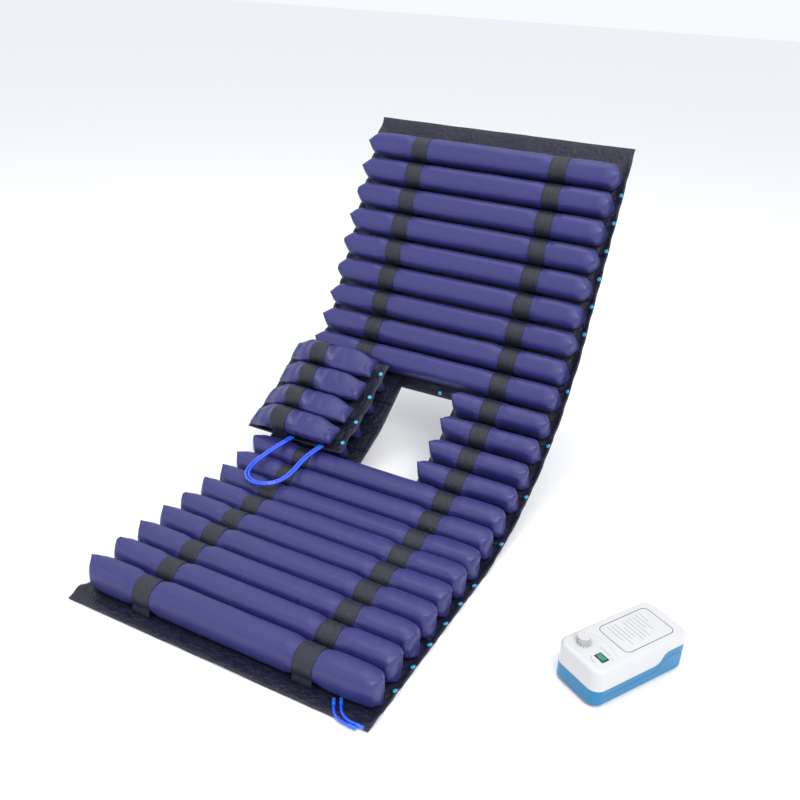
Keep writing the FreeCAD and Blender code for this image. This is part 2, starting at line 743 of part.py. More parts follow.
CHAMBER_X = ARM_X + " - arm_thickness - arm_clearance - chamber_diameter / 2"
chambers = [cylinder("chamber_%d" % (i + 1), "chamber_diameter / 2", "chamber_height",
                     x=CHAMBER_X, y="%d * (chamber_diameter / 2 + 2)" % side,
                     z=FLOOR) for i, side in enumerate((-1, 1))]
keep("pump_air_chambers", placed("pump_air_chambers", chambers, PUMP))
VALVE_X, VALVE_Y = "pump_length / 2 - valve_inset", "valve_offset"
motor = cylinder("motor", "motor_diameter / 2", "motor_height", x=VALVE_X, y=VALVE_Y, z=FLOOR)
keep("pump_valve_motor", placed("pump_valve_motor", motor, PUMP))
disc = cylinder("disc", "valve_diameter / 2", "valve_height", x=VALVE_X, y=VALVE_Y,
                z=FLOOR + " + motor_height + valve_gap")
keep("pump_valve_disc", placed("pump_valve_disc", disc, PUMP))


# ---------------------------------------------------------------- check and write
doc.recompute()
for thing in doc.Objects:
    if "Invalid" in thing.State or "Error" in thing.State:
        raise RuntimeError("%s failed: %s" % (thing.Name, thing.State))
for node, thing in nodes.items():
    if thing.Shape.isNull() or not thing.Shape.isValid():
        raise RuntimeError("%s has no valid shape" % node)
os.makedirs("parts", exist_ok=True)
for node, thing in nodes.items():
    thing.Shape.exportStep("parts/%s.step" % node)
print("%d pieces written" % len(nodes))
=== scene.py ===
import bpy
import json
import math
import random
from mathutils import Matrix, Vector, noise


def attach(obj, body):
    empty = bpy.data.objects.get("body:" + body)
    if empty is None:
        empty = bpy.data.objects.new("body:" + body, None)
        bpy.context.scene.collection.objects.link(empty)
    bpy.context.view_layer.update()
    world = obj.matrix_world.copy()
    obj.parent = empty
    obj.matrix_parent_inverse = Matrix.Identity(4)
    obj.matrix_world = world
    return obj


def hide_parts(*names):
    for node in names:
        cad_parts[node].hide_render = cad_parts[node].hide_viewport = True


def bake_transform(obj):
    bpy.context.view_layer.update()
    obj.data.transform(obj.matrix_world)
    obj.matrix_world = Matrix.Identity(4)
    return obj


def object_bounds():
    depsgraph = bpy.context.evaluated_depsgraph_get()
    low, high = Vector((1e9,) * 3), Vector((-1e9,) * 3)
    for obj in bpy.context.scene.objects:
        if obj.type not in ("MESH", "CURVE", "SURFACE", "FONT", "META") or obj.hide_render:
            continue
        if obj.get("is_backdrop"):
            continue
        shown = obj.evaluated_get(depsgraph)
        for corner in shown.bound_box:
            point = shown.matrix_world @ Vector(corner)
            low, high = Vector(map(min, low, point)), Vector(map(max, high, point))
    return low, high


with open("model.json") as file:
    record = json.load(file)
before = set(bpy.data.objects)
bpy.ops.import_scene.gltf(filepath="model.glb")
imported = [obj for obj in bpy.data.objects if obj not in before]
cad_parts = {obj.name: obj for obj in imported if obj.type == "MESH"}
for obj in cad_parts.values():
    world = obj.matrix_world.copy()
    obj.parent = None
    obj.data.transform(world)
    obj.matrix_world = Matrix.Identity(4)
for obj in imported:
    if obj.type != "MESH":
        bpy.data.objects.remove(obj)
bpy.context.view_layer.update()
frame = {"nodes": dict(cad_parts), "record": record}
nodes = frame["nodes"]
print("frame loaded,", len(nodes), "CAD nodes")

camera = bpy.data.objects.new("camera", bpy.data.cameras.new("camera"))
bpy.context.scene.collection.objects.link(camera)
camera.data.sensor_width = 36
camera.data.lens = 40.8
right = Vector((0.8805, 0.4726, 0.0358))
up = Vector((-0.2396, 0.3786, 0.8940))
back = right.cross(up).normalized()
right = up.cross(back).normalized()
up = back.cross(right)
camera.matrix_world = Matrix.Translation((1.0771, -1.5089, 1.4484)) @ Matrix(
    (right, up, back)).transposed().to_4x4()
bpy.context.scene.camera = camera
bpy.context.scene.view_settings.view_transform = "Standard"

pairSpacing = 0.009
hoses = {
    "plug_hose_pair_outer": {
        "node": "plug_hose_outer", "body": "plug", "length": 0.494, "diameter": 0.008,
        "farEnd": "object",
        "points": [(-0.297, 0.436, 0.126), (-0.304, 0.407, 0.122), (-0.318, 0.365, 0.111),
                   (-0.328, 0.322, 0.102), (-0.326, 0.280, 0.096), (-0.309, 0.246, 0.0935),
                   (-0.276, 0.228, 0.093), (-0.242, 0.232, 0.093), (-0.215, 0.253, 0.0935),
                   (-0.199, 0.287, 0.096), (-0.194, 0.326, 0.103), (-0.196, 0.365, 0.111),
                   (-0.190, 0.407, 0.122), (-0.184, 0.436, 0.126)]},
    "plug_hose_pair_inner": {
        "node": "plug_hose_inner", "body": "plug", "length": 0.466, "diameter": 0.008,
        "farEnd": "object",
        "points": [(-0.297 + pairSpacing, 0.436, 0.126), (-0.304 + pairSpacing, 0.407, 0.122),
                   (-0.318 + pairSpacing, 0.365, 0.111), (-0.319, 0.322, 0.102),
                   (-0.317, 0.282, 0.096), (-0.303, 0.253, 0.0935), (-0.275, 0.2375, 0.093),
                   (-0.245, 0.241, 0.093), (-0.222, 0.259, 0.0935), (-0.208, 0.289, 0.096),
                   (-0.203, 0.326, 0.103), (-0.196 - pairSpacing, 0.365, 0.111),
                   (-0.190 - pairSpacing, 0.407, 0.122), (-0.184 - pairSpacing, 0.436, 0.126)]},
    "feed_hose_pair_outer": {
        "node": "feed_hose_outer", "body": "leg_section", "length": 0.070, "diameter": 0.007,
        "farEnd": "fitting",
        "points": [(0.322, -0.291, 0.007), (0.330, -0.3049, 0.007), (0.3438, -0.3164, 0.007),
                   (0.3607, -0.3226, 0.007), (0.3787, -0.3226, 0.007)]},
    "feed_hose_pair_inner": {
        "node": "feed_hose_inner", "body": "leg_section", "length": 0.070, "diameter": 0.007,
        "farEnd": "fitting",
        "points": [(0.335, -0.2818, 0.007), (0.343, -0.2957, 0.007), (0.3568, -0.3072, 0.007),
                   (0.3737, -0.3134, 0.007), (0.3917, -0.3134, 0.007)]},
}
hoseObjects = []
for name, hose in hoses.items():
    curve = bpy.data.curves.new(name, "CURVE")
    curve.dimensions = "3D"
    # each point's radius gives the thickness, so that the box round the curve is a close one
    curve.bevel_depth = 1
    curve.bevel_resolution = 5
    curve.resolution_u = 10
    curve.use_fill_caps = True
    spline = curve.splines.new("NURBS")
    spline.points.add(len(hose["points"]) - 1)
    for point, at in zip(spline.points, hose["points"]):
        point.co = (*at, 1)
        point.radius = hose["diameter"] / 2
    spline.order_u = 3
    spline.use_endpoint_u = True
    hoseObject = bpy.data.objects.new(name, curve)
    bpy.context.scene.collection.objects.link(hoseObject)
    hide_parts(hose["node"])
    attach(hoseObject, hose["body"])
    hoseObjects.append(hoseObject)
print("hoses laid")


# ---- materials: one class wraps a socket, so that shader maths reads as sums
class Signal:
    def __init__(self, tree, socket):
        self.tree, self.socket = tree, socket

    def maths(self, operation, first, second):
        made = self.tree.nodes.new("ShaderNodeMath")
        made.operation = operation
        for slotIndex, value in enumerate((first, second)):
            if isinstance(value, Signal):
                self.tree.links.new(value.socket, made.inputs[slotIndex])
            else:
                made.inputs[slotIndex].default_value = value
        return Signal(self.tree, made.outputs[0])

    def __add__(self, other):
        return self.maths("ADD", self, other)

    def __radd__(self, other):
        return self.maths("ADD", other, self)

    def __sub__(self, other):
        return self.maths("SUBTRACT", self, other)

    def __rsub__(self, other):
        return self.maths("SUBTRACT", other, self)

    def __mul__(self, other):
        return self.maths("MULTIPLY", self, other)

    def __rmul__(self, other):
        return self.maths("MULTIPLY", other, self)


class Finish:
    def __init__(self, name, **fixed):
        self.material = bpy.data.materials.new(name)
        self.material.use_nodes = True
        self.tree = self.material.node_tree
        self.shader = self.tree.nodes["Principled BSDF"]
        for socket, value in fixed.items():
            self.shader.inputs[socket.replace("_", " ")].default_value = value
        self.place = self.node("ShaderNodeTexCoord", output="Object")

    def node(self, kind, settings=None, output=0, **values):
        made = self.tree.nodes.new(kind)
        for name, value in (settings or {}).items():
            setattr(made, name, value)
        for name, value in values.items():
            socket = made.inputs[int(name[1:]) if name[1:].isdigit() else name.replace("_", " ")]
            if isinstance(value, Signal):
                self.tree.links.new(value.socket, socket)
            else:
                socket.default_value = value
        return Signal(self.tree, made.outputs[output])

    def noise(self, scale, detail=3, roughness=0.5, stretch=(1, 1, 1), distortion=0):
        mapped = self.node("ShaderNodeMapping", Vector=self.place, Scale=stretch)
        return self.node("ShaderNodeTexNoise", Vector=mapped, Scale=scale, Detail=detail,
                         Roughness=roughness, Distortion=distortion)

    def mix(self, factor, first, second):
        return self.node("ShaderNodeMix", {"data_type": "RGBA"}, output=2, i0=factor, i6=first,
                         i7=second)

    def feed(self, socket, signal):
        self.tree.links.new(signal.socket, self.shader.inputs[socket])

    def bump(self, height, strength, distance):
        self.feed("Normal", self.node("ShaderNodeBump", Height=height, Strength=strength,
                                      Distance=distance))


def cellCloth():
    # coated nylon: satin, a fine weave, soft creases and slightly uneven dye
    made = Finish("cell_cloth", Sheen_Weight=0.05, Sheen_Roughness=0.45, Coat_Weight=0.05)
    made.shader.inputs["Sheen Tint"].default_value = (0.45, 0.45, 1, 1)
    dye = made.noise(7, 4, 0.6, (0.4, 1, 1))
    cloud = made.noise(45, 3, 0.6)
    made.feed("Base Color", made.mix(dye * 0.6 + cloud * 0.4, (0.0150, 0.0160, 0.1080, 1),
                                     (0.0260, 0.0275, 0.1620, 1)))
    weaveX = made.node("ShaderNodeTexWave", {"bands_direction": "X"}, Vector=made.place,
                       Scale=260, Distortion=0.4)
    weaveY = made.node("ShaderNodeTexWave", {"bands_direction": "Y"}, Vector=made.place,
                       Scale=260, Distortion=0.4)
    creases = made.noise(22, 5, 0.62, (0.35, 1, 1), 0.6)
    made.feed("Roughness", 0.36 + cloud * 0.16)
    made.bump(creases + (weaveX + weaveY) * 0.02, 0.42, 0.004)
    return made.material


def darkCloth(name, dark, light, roughness, creaseScale):
    # thin coated lining cloth that crinkles sharply
    made = Finish(name, Sheen_Weight=0.03, Sheen_Roughness=0.4)
    made.shader.inputs["Sheen Tint"].default_value = (0.5, 0.55, 1, 1)
    mottle = made.noise(30, 5, 0.65)
    made.feed("Base Color", made.mix(mottle, dark, light))
    made.feed("Roughness", roughness + mottle * 0.14)
    crackle = made.node("ShaderNodeTexVoronoi", {"feature": "SMOOTH_F1"}, Vector=made.place,
                        Scale=creaseScale * 2, Smoothness=0.4)
    creases = made.noise(creaseScale, 6, 0.7, (1, 1, 1), 1.2)
    weave = made.node("ShaderNodeTexWave", {"bands_direction": "DIAGONAL"}, Vector=made.place,
                      Scale=330, Distortion=0.3)
    made.bump(creases + crackle * 0.5 + weave * 0.03, 0.7, 0.005)
    return made.material


def webbing():
    # ribbed polyester strap
    made = Finish("strap_webbing", Sheen_Weight=0.04, Sheen_Roughness=0.4)
    made.shader.inputs["Sheen Tint"].default_value = (0.5, 0.6, 1, 1)
    ribs = made.node("ShaderNodeTexWave", {"bands_direction": "X"}, Vector=made.place,
                     Scale=110, Distortion=0.6)
    mottle = made.noise(55, 5, 0.7)
    made.feed("Base Color", made.mix(mottle, (0.0020, 0.0030, 0.0080, 1),
                                     (0.0110, 0.0140, 0.0300, 1)))
    made.feed("Roughness", 0.30 + mottle * 0.2)
    creases = made.noise(70, 5, 0.7, (1, 1, 1), 1.5)
    made.bump(creases + ribs * 0.12, 0.75, 0.003)
    return made.material


def moulded(name, colour, roughness, grain=0.06, coat=0.0, metallic=0.0):
    # injection-moulded plastic or plain metal with a faint grain
    made = Finish(name, Coat_Weight=coat, Metallic=metallic)
    smudge = made.noise(14, 3)
    darker = (*[c * 0.9 for c in colour[:3]], 1)
    made.feed("Base Color", made.mix(smudge, darker, colour))
    made.feed("Roughness", roughness - 0.04 + smudge * 0.08)
    made.bump(made.noise(1400, 2), grain, 0.001)
    return made.material


materials = {
    "cell_cloth": cellCloth(),
    "sheet_cloth": darkCloth("sheet_cloth", (0.0020, 0.0024, 0.0100, 1),
                             (0.0090, 0.0100, 0.0330, 1), 0.34, 38),
    "strap_webbing": webbing(),
    "hose_pvc": moulded("hose_pvc", (0.010, 0.075, 0.80, 1), 0.2, 0.03, 0.6),
    "snap_plastic": moulded("snap_plastic", (0.06, 0.42, 0.72, 1), 0.3, 0.04, 0.4),
    "fitting_plastic": moulded("fitting_plastic", (0.02, 0.14, 0.70, 1), 0.3, 0.04, 0.3),
    "pump_white": moulded("pump_white", (0.56, 0.565, 0.575, 1), 0.24, 0.04, 0.35),
    "pump_blue": moulded("pump_blue", (0.0, 0.165, 0.350, 1), 0.34, 0.06, 0.1),
    "foot_rubber": moulded("foot_rubber", (0.004, 0.07, 0.19, 1), 0.6, 0.2),
    "screw_steel": moulded("screw_steel", (0.55, 0.56, 0.58, 1), 0.3, 0.05, 0, 1),
    "black_plastic": moulded("black_plastic", (0.012, 0.012, 0.014, 1), 0.35, 0.1, 0.1),
    "coil_copper": moulded("coil_copper", (0.45, 0.16, 0.06, 1), 0.35, 0.2, 0, 1),
    "motor_steel": moulded("motor_steel", (0.42, 0.43, 0.45, 1), 0.35, 0.1, 0, 1),
    "knob_white": moulded("knob_white", (0.52, 0.525, 0.535, 1), 0.34, 0.08, 0.15),
    "rocker_green": moulded("rocker_green", (0.001, 0.22, 0.11, 1), 0.15, 0.02, 0.6),
    "print_black": moulded("print_black", (0.02, 0.02, 0.024, 1), 0.4, 0.02),
    "print_grey": moulded("print_grey", (0.10, 0.105, 0.115, 1), 0.45, 0.02),
}


def finish(made, name):
    made.data.materials.clear()
    made.data.materials.append(materials[name])


for made in hoseObjects:
    finish(made, "hose_pvc")
print("materials made")


# ---- the bent layout: each section's frame, foot end first
layout = {
    "rowPitch": 0.084, "bendPitch": 0.096, "bendAngle": 12.5, "footMargin": 0.082,
    "headMargin": 0.100, "sheetWidth": 0.860, "axisHeight": 0.0406, "strapX": 0.230,
    "strapWidth": 0.052, "sheetThickness": 0.0012,
    "rows": {"leg": range(22, 15, -1), "thigh": (15, 14), "seat_front": (13, 12),
             "seat_rear": (11, 10), "lumbar": (9, 8), "back": range(7, 0, -1)},
}
sections = {}
edgeAt = None
for step, (name, rows) in enumerate(layout["rows"].items()):
    start = layout["footMargin"] if name == "leg" else layout["bendPitch"] / 2
    end = layout["headMargin"] if name == "back" else layout["bendPitch"] / 2
    length = start + end + (len(rows) - 1) * layout["rowPitch"]
    edgeAt = edgeAt or Vector((0, -length / 2, 0))
    turn = Matrix.Rotation(math.radians(step * layout["bendAngle"]), 4, "X")
    sections[name] = {
        "body": name + "_section", "length": length, "rows": rows,
        "matrix": Matrix.Translation(edgeAt) @ turn,
        "offsets": [start + i * layout["rowPitch"] for i in range(len(rows))]}
    edgeAt = edgeAt + turn.to_3x3() @ Vector((0, length, 0))
plugShift = Matrix.Translation((-0.301, -0.04305, 0.07095))


def smooth(value, low, high):
    t = min(1, max(0, (value - low) / (high - low)))
    return t * t * (3 - 2 * t)


def meshPiece(name, points, faces, slot, smoothed=True):
    mesh = bpy.data.meshes.new(name)
    mesh.from_pydata([tuple(p) for p in points], [], faces)
    mesh.update()
    made = bpy.data.objects.new(name, mesh)
    bpy.context.scene.collection.objects.link(made)
    if smoothed:
        for face in mesh.polygons:
            face.use_smooth = True
    if slot:
        finish(made, slot)
    return made


def applyModifiers(made):
    bpy.ops.object.select_all(action="DESELECT")
    made.select_set(True)
    bpy.context.view_layer.objects.active = made
    for modifier in list(made.modifiers):
        bpy.ops.object.modifier_apply(modifier=modifier.name)


# ---- air cells: flat welded bags, inflated by cloth simulation
bags = {
    "long_a": {"length": 0.86, "along": 150, "pressure": 20, "seed": 1},
    "long_b": {"length": 0.86, "along": 150, "pressure": 26, "seed": 5},
    "long_c": {"length": 0.86, "along": 150, "pressure": 16, "seed": 9},
    "right_short": {"length": 0.325, "along": 64, "pressure": 20, "seed": 3},
    "left_slack": {"length": 0.295, "along": 66, "pressure": 5, "seed": 4},
    "left_creased": {"length": 0.295, "along": 66, "pressure": 7, "seed": 8},
    "plug_a": {"length": 0.325, "along": 74, "pressure": 9, "seed": 6},
    "plug_b": {"length": 0.325, "along": 74, "pressure": 11, "seed": 7},
}
bagHeight, bagAround, inflateFrames = 0.128, 48, 24


def flatBag(name, length, along, pressure, seed):
    chance = random.Random(seed)
    half = bagAround // 2
    points, faces, rings = [], [], []
    for i in range(along + 1):
        x = -length / 2 + length * i / along
        isEnd = i in (0, along)
        thick = 0.004 * min(1, min(i, along - i) / 4)
        first = len(points)
        for j in range(half + 1 if isEnd else bagAround):
            z = bagHeight * ((j if j <= half else bagAround - j) / half - 0.5)
            side = 0 if isEnd or j in (0, half) else (1 if j < half else -1)
            bow = math.sin(math.pi * (z / bagHeight + 0.5)) ** 0.5 if side else 0
            points.append((x, side * thick * bow + chance.uniform(-0.0006, 0.0006), z))
        rings.append([first + (j if j <= half else bagAround - j) if isEnd else first + j
                      for j in range(bagAround)])
    for near, far in zip(rings, rings[1:]):
        for j in range(bagAround):
            k = (j + 1) % bagAround
            corners = []
            for corner in (near[j], far[j], far[k], near[k]):
                if corner not in corners:
                    corners.append(corner)
            if len(corners) > 2:
                faces.append(corners)
    made = meshPiece(name, points, faces, None)
    cloth = made.modifiers.new("Cloth", "CLOTH")
    cloth.settings.quality = 6
    cloth.settings.mass = 0.15
    for kind in ("tension", "compression"):
        setattr(cloth.settings, kind + "_stiffness", 25)
        setattr(cloth.settings, kind + "_damping", 5)
    cloth.settings.shear_stiffness = 12.5
    cloth.settings.shear_damping = 5
    cloth.settings.bending_stiffness = 0.1
    cloth.settings.bending_damping = 0.5
    cloth.settings.use_pressure = True
    cloth.settings.uniform_pressure_force = pressure
    cloth.settings.effector_weights.gravity = 0
    cloth.collision_settings.use_collision = False
    cloth.point_cache.frame_end = inflateFrames
    return made, rings


flatBags = {name: flatBag(name, **bag) for name, bag in bags.items()}
bpy.context.scene.frame_start, bpy.context.scene.frame_end = 1, inflateFrames
for frameNumber in range(1, inflateFrames + 1):
    bpy.context.scene.frame_set(frameNumber)
inflated = {}
for name, (bagObject, rings) in flatBags.items():
    shaped = bagObject.evaluated_get(bpy.context.evaluated_depsgraph_get())
    points = [v.co.copy() for v in shaped.data.vertices]
    reach = max(abs(p.x) for p in points)
    inflated[name] = [[points[i] for i in ring] for ring in rings], reach
    bpy.data.objects.remove(bagObject)
bpy.context.scene.frame_set(1)
print("air cells inflated")

weldWidth = 0.008  # the flat welded flange beyond each end seam
cellShape = {"width": 0.96, "height": 1.04, "earHeight": 0.97, "earLift": 0.009,
             "floor": -0.0388, "side": 0.0413, "cinch": 0.0379}
# how each kind of cell fills out: half width, half height, share of the even form, ears
kinds = {
    "long": {"half": (0.0416, 0.0402), "even": 0.94, "ears": 1.0, "rolled": False,
             "fill": 0.9, "taper": 0.044},
    "short": {"half": (0.0415, 0.0398), "even": 0.88, "ears": 0.9, "rolled": False,
              "fill": 0.8, "taper": 0.044},
    "slack": {"half": (0.0405, 0.0360), "even": 0.75, "ears": 0.5, "rolled": False,
              "fill": 0.4, "taper": 0.070},
    "plug": {"half": (0.0415, 0.0400), "even": 0.72, "ears": 0.0, "rolled": True,
             "fill": 0.7, "taper": 0.075},
}


def softLimit(value, start, limit):
    # past start, value closes in on limit and never passes it
    if value <= start:
        return value
    room = limit - start
    return start + room * (1 - math.exp(-(value - start) / room))


def cellPiece(name, kind, bag, length, centreX, matrix, strapAt, seed):
    facts = kinds[kind]
    chance = random.Random(seed)
    mirrorX, mirrorY = chance.choice((-1, 1)), chance.choice((-1, 1))
    swell = chance.uniform(0.985, 1.01)
    tilts = {-1: chance.uniform(-0.16, 0.16), 1: chance.uniform(-0.16, 0.16)}
    lifts = {-1: chance.uniform(0.7, 1.15), 1: chance.uniform(0.7, 1.15)}
    phase = chance.uniform(0, 6)
    rings, reach = inflated[bag]
    scaleX = (length / 2 - weldWidth) / reach
    half = bagAround // 2

    def shaped(point, place, outward=0.0, across=0.0):
        x, y, z = point.x * mirrorX * scaleX, point.y * mirrorY + across, point.z
        if facts["rolled"]:
            y, z = z, -y
        side = 1 if x > 0 else -1
        x += outward * side
        nearEnd = smooth(abs(x), length / 2 - 0.075, length / 2 - 0.005)
        if facts["rolled"]:
            # the end is gathered onto the plug's sheet, so it slopes down to a low flat seam
            drop = {-1: 0.027, 1: 0.010}[side] * nearEnd
            y *= swell * (1 - 0.36 * nearEnd)
            ruffle = math.sin(y * 520 + phase) * 0.6 + math.sin(y * 870 + phase * 3) * 0.4
            z = z * swell - drop + 0.0022 * ruffle * smooth(
                abs(x), length / 2 - 0.055, length / 2 - 0.010)
        else:
            tall = cellShape["height"] * (1 - nearEnd) + cellShape["earHeight"] * nearEnd
            z = z * tall * swell * (1 - 0.35 * nearEnd * (1 - facts["ears"]))
            z += cellShape["earLift"] * nearEnd * lifts[side] * facts["ears"]
            y = y * cellShape["width"] * swell + tilts[side] * z * nearEnd * 0.7
        # an even, slightly squared tube that closes to a seam at each end, with some of the
        # simulated bag's folds left in it
        wide, high = facts["half"]
        turn = math.pi * (2 * place / bagAround - 0.5)
        turn = turn if mirrorY > 0 else math.pi - turn
        closing = min(1, max(0, (abs(x) - length / 2 + facts["taper"]) / facts["taper"]))
        seam = 0.0006 + (1 - closing ** 4.5) * (high if facts["rolled"] else wide)
        evenY = math.copysign(abs(math.cos(turn)) ** 0.72, math.cos(turn)) * seam
        evenZ = math.copysign(abs(math.sin(turn)) ** 0.72, math.sin(turn)) * (
            wide if facts["rolled"] else high)
        even = swell * (1 + 0.014 * noise.noise(Vector((x * 14, turn * 1.3, phase))))
        evenY, evenZ = evenY * even, evenZ * even
        if facts["rolled"]:
            evenY, evenZ = evenZ * (1 - 0.30 * nearEnd), -evenY - drop
        else:
            folds = math.sin(turn * 7 + phase) * 0.6 + math.sin(turn * 13 + phase * 2) * 0.4
            evenY += (tilts[side] * evenZ * 0.8 + 0.0020 * folds * (side > 0)) * closing
            if evenZ > 0:
                nub = 0.0075 * lifts[side] * smooth(closing, 0.62, 1.0) * evenZ / high
                slope = 0.30 * closing ** 1.5
                evenZ = evenZ + nub if side < 0 else evenZ * (1 - slope)
        share = facts["even"] * (1 - 0.06 * nearEnd)
        y = y * (1 - share) + evenY * share
        z = z * (1 - share) + evenZ * share
        radius, angle = math.hypot(y, z), math.atan2(z, y)
        # pulled in under the loop, with small gathers on either side of it
        away = min(max(0, abs(x + centreX - at) - 0.026) for at in strapAt)
        grip = 1 - smooth(away, 0.0, 0.030)
        gather = math.sin(angle * 17 + phase) * 0.5 + math.sin(angle * 29 + phase * 2) * 0.5
        held = min(cellShape["cinch"], high)
        radius = radius * (1 - grip) + held * grip
        radius -= 0.0010 * gather * math.exp(-((away - 0.009) / 0.011) ** 2)
        y, z = radius * math.cos(angle), radius * math.sin(angle)
        z = -softLimit(-z, 0.033, -cellShape["floor"])
        y = math.copysign(softLimit(abs(y), 0.038, cellShape["side"]), y)
        return matrix @ Vector((x + centreX, y, z + layout["axisHeight"]))

    order = rings if mirrorX > 0 else rings[::-1]
    points, faces = [], []
    for index, ring in enumerate([order[0], *order, order[-1]]):
        isFlange = index in (0, len(order) + 1)
        isSeam = index in (1, len(order))
        for j, point in enumerate(ring):
            across = 0.0
            if (isFlange or isSeam) and j not in (0, half):
                across = 0.0004 if j < half else -0.0004
            points.append(shaped(point, j, weldWidth if isFlange else 0.0, across * mirrorY))
    count = len(order) + 2
    for index in range(count - 1):
        for j in range(bagAround):
            k = (j + 1) % bagAround
            near, far = index * bagAround, (index + 1) * bagAround
            faces.append([near + j, far + j, far + k, near + k])
    for base in (0, (count - 1) * bagAround):
        for j in range(half):
            k, m = bagAround - j - 1, (bagAround - j) % bagAround
            strip = [base + j, base + j + 1, base + k, base + m]
            faces.append([v for i, v in enumerate(strip) if v not in strip[:i]])
    made = meshPiece(name, points, faces, "cell_cloth")
    bpy.ops.object.select_all(action="DESELECT")
    made.select_set(True)
    bpy.context.view_layer.objects.active = made
    bpy.ops.object.mode_set(mode="EDIT")
    bpy.ops.mesh.select_all(action="SELECT")
    bpy.ops.mesh.normals_make_consistent(inside=False)
    bpy.ops.object.mode_set(mode="OBJECT")
    return made


longBags = ["long_a", "long_b", "long_c"]
strapX = layout["strapX"]
for sectionName, section in sections.items():
    for row, offset in zip(section["rows"], section["offsets"]):
        matrix = section["matrix"] @ Matrix.Translation((0, offset, 0))
        word = "cell_%02d" % row
        if row in (10, 11, 12, 13):
            parts = [cellPiece(word + "_left", "slack", ("left_slack", "left_creased")[row % 2],
                               0.272, -0.274, matrix, (-strapX,), row * 3),
                     cellPiece(word + "_right", "short", "right_short", 0.305, 0.2575, matrix,
                               (strapX,), row * 5)]
        else:
            parts = [cellPiece(word, "long", longBags[row % 3], 0.82, 0, matrix,
                               (-strapX, strapX), row * 7)]
        for made in parts:
            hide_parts("air_cell_row_%02d" % row)
            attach(made, section["body"])
print("rows of cells placed")

# the plug's own four cells
plugStrapX = -0.029
for row, part, bag in ((13, "seat_front", "plug_a"), (12, "seat_front", "plug_b"),
                       (11, "seat_rear", "plug_a"), (10, "seat_rear", "plug_b")):
    section = sections[part]
    offset = section["offsets"][list(section["rows"]).index(row)]
    matrix = plugShift @ section["matrix"] @ Matrix.Translation((0, offset, 0))
    made = cellPiece("plug_cell_%02d" % row, "plug", bag, 0.30, 0, matrix, (plugStrapX,),
                     row * 11)
    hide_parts("plug_cells")
    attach(made, "plug")
print("plug cells placed")


# ---- base sheet: thin cloth, from the middle of one section to the middle of the next
sheetFacts = {"step": 0.009, "openingHalf": 0.095, "hem": 0.024, "hemRise": 0.0007,
              "bendRound": 0.016}
sectionNames = list(sections)
starts, total = {}, 0.0
for name in sectionNames:
    starts[name] = total
    total += sections[name]["length"]
rowsAlong = [starts[n] + o for n in sectionNames for o in sections[n]["offsets"]]
openingStart = starts["seat_front"] + sheetFacts["hem"]
openingEnd = starts["lumbar"] - sheetFacts["hem"]


def onSheet(x, s, height):
    # a point of the sheet: s runs along it from the foot edge, with a rounded turn at each bend
    name = [n for n in sectionNames if starts[n] <= s + 1e-9][-1]
    matrix = sections[name]["matrix"]
    local = s - starts[name]
    point = matrix @ Vector((x, local, height))
    index, around = sectionNames.index(name), sheetFacts["bendRound"]
    bend = None
    if index > 0 and local < around:
        bend, before, t = starts[name], sectionNames[index - 1], 0.5 + local / around / 2
    elif index < 5 and sections[name]["length"] - local < around:
        bend, before = starts[name] + sections[name]["length"], name
        t = 0.5 - (bend - s) / around / 2
    if bend is not None:
        after = sectionNames[sectionNames.index(before) + 1]
        first = sections[before]["matrix"] @ Vector(
            (x, sections[before]["length"] - around, height))
        corner = sections[after]["matrix"] @ Vector((x, 0, height))
        last = sections[after]["matrix"] @ Vector((x, around, height))
        point = first * (1 - t) ** 2 + corner * 2 * t * (1 - t) + last * t * t
    return point


def lines(low, high, step, fixed):
    marks = sorted({round(v, 5) for v in [low, high, *[f for f in fixed if low < f < high]]})
    made = [marks[0]]
    for a, b in zip(marks, marks[1:]):
        count = max(1, math.ceil((b - a) / step))
        made += [a + (b - a) * i / count for i in range(1, count + 1)]
    return made


def betweenRows(s):
    # 1 midway between two rows of cells, 0 under a row
    return 0.5 - 0.5 * math.cos(2 * math.pi * min((s - r for r in rowsAlong), key=abs)
                                / layout["rowPitch"])


def sheetHeight(x, s):
    side = smooth(abs(x), 0.402, 0.428)
    loose = max(side, 1 - smooth(s, 0.004, 0.040), smooth(s, total - 0.052, total - 0.008))
    wave = noise.noise(Vector((x * 9, s * 9, 3.1)))
    wave2 = noise.noise(Vector((x * 31, s * 31, 7.7)))
    height = loose * (0.0035 + 0.0035 * wave + 0.0016 * wave2)
    height += side * 0.010 * betweenRows(s) ** 2
    edge = max(abs(x) - sheetFacts["openingHalf"], openingStart - s, s - openingEnd)
    if 0 <= edge < 0.014:
        height += sheetFacts["hemRise"] * (1 - smooth(edge, 0.010, 0.014))
    return max(0, height)


